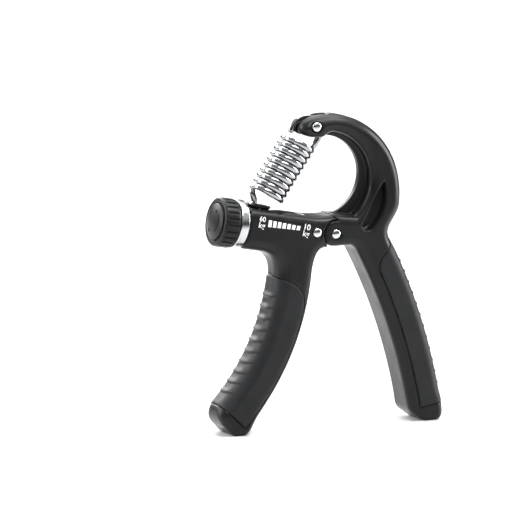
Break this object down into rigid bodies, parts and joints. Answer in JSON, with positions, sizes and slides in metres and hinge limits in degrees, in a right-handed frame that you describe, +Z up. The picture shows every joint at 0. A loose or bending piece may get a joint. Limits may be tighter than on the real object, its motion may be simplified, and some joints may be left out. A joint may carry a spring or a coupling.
{
  "type": "hand grip strengthener",
  "caption": "Adjustable hand grip strengthener: two hinged handles squeezed together against a coil spring whose hook a knob moves along a barrel.",
  "frame": {"origin": "centre of the footprint, on the surface that the two handle feet stand on", "axes": "+Z up, +X from the knob side towards the right handle, -Y towards the printed front face"},
  "size_m": [0.1226, 0.0244, 0.1557],
  "materials": {
    "handle_plastic": "satin moulded black, fine grain",
    "grip_rubber": "matt soft-touch, slightly greyer than the plastic",
    "spring_chrome": "bright plated wire",
    "rivet_chrome": "bright plated, domed",
    "collar_silver": "polished silver",
    "plain_steel": "plain machined",
    "bearing_brass": "machined",
    "washer_nylon": "natural nylon"
  },
  "bodies": {
    "left_handle": {"left_handle_frame": "handle_plastic", "left_grip_pad": "grip_rubber", "hinge_plate": "plain_steel", "hinge_plate_rivet": "rivet_chrome", "hinge_bush": "bearing_brass", "hinge_washer_front": "washer_nylon", "hinge_washer_back": "washer_nylon", "thrust_washer": "washer_nylon", "screw_bearing": "bearing_brass", "screw_end_bush": "bearing_brass"},
    "right_handle": {"right_handle_frame": "handle_plastic", "right_grip_pad": "grip_rubber", "pivot_rivet": "rivet_chrome", "spring_rivet": "rivet_chrome"},
    "knob": {"knob_grip": "handle_plastic", "knob_end_cap": "handle_plastic", "knob_collar": "collar_silver", "knob_fixing_screw": "plain_steel", "lead_screw": "plain_steel", "screw_clip": "plain_steel"},
    "slider": {"slider_block": "handle_plastic", "slider_nut": "bearing_brass", "slider_pin": "plain_steel", "hook_bush": "washer_nylon"},
    "spring_end": {"spring_hook": "spring_chrome"},
    "spring_foot": {"spring_lower": "spring_chrome"},
    "spring_head": {"spring_upper": "spring_chrome"}
  },
  "joints": [
    {"name": "squeeze", "type": "hinge", "parent": "left_handle", "child": "right_handle", "pos_m": [0.0016, 0, 0.0967], "axis": [0, 1, 0], "range_deg": [0, 40], "stiffness_Nm_per_rad": 20},
    {"name": "knob_turn", "type": "hinge", "parent": "left_handle", "child": "knob", "pos_m": [-0.0462, 0, 0.1032], "axis": [0.9833, 0, -0.1822], "range_deg": [-2970, 0]},
    {"name": "slider_travel", "type": "slide", "parent": "left_handle", "child": "slider", "axis": [0.9833, 0, -0.1822], "range_m": [0, 0.01651]},
    {"name": "spring_sweep", "type": "hinge", "parent": "left_handle", "child": "spring_end", "pos_m": [-0.01996, 0, 0.15563], "axis": [0, 1, 0], "range_deg": [-19.65, 0]},
    {"name": "spring_swing", "type": "hinge", "parent": "spring_end", "child": "spring_foot", "pos_m": [-0.03677, 0, 0.1102], "axis": [0, 1, 0], "range_deg": [0, 27.1]},
    {"name": "spring_stretch", "type": "slide", "parent": "spring_foot", "child": "spring_head", "axis": [0.5817, 0, 0.8134], "range_m": [0, 0.02435], "deforming": ["spring_hook", "spring_lower", "spring_upper"]}
  ],
  "couplings": [
    {"joint": "slider_travel", "follows": "knob_turn", "m_per_rad": -0.00031831},
    {"joint": "spring_sweep", "follows": "knob_turn", "ratio": 0.0066027},
    {"joint": "spring_swing", "follows": "squeeze", "ratio": 0.67625},
    {"joint": "spring_stretch", "follows": "squeeze", "m_per_rad": 0.034843}
  ]
}
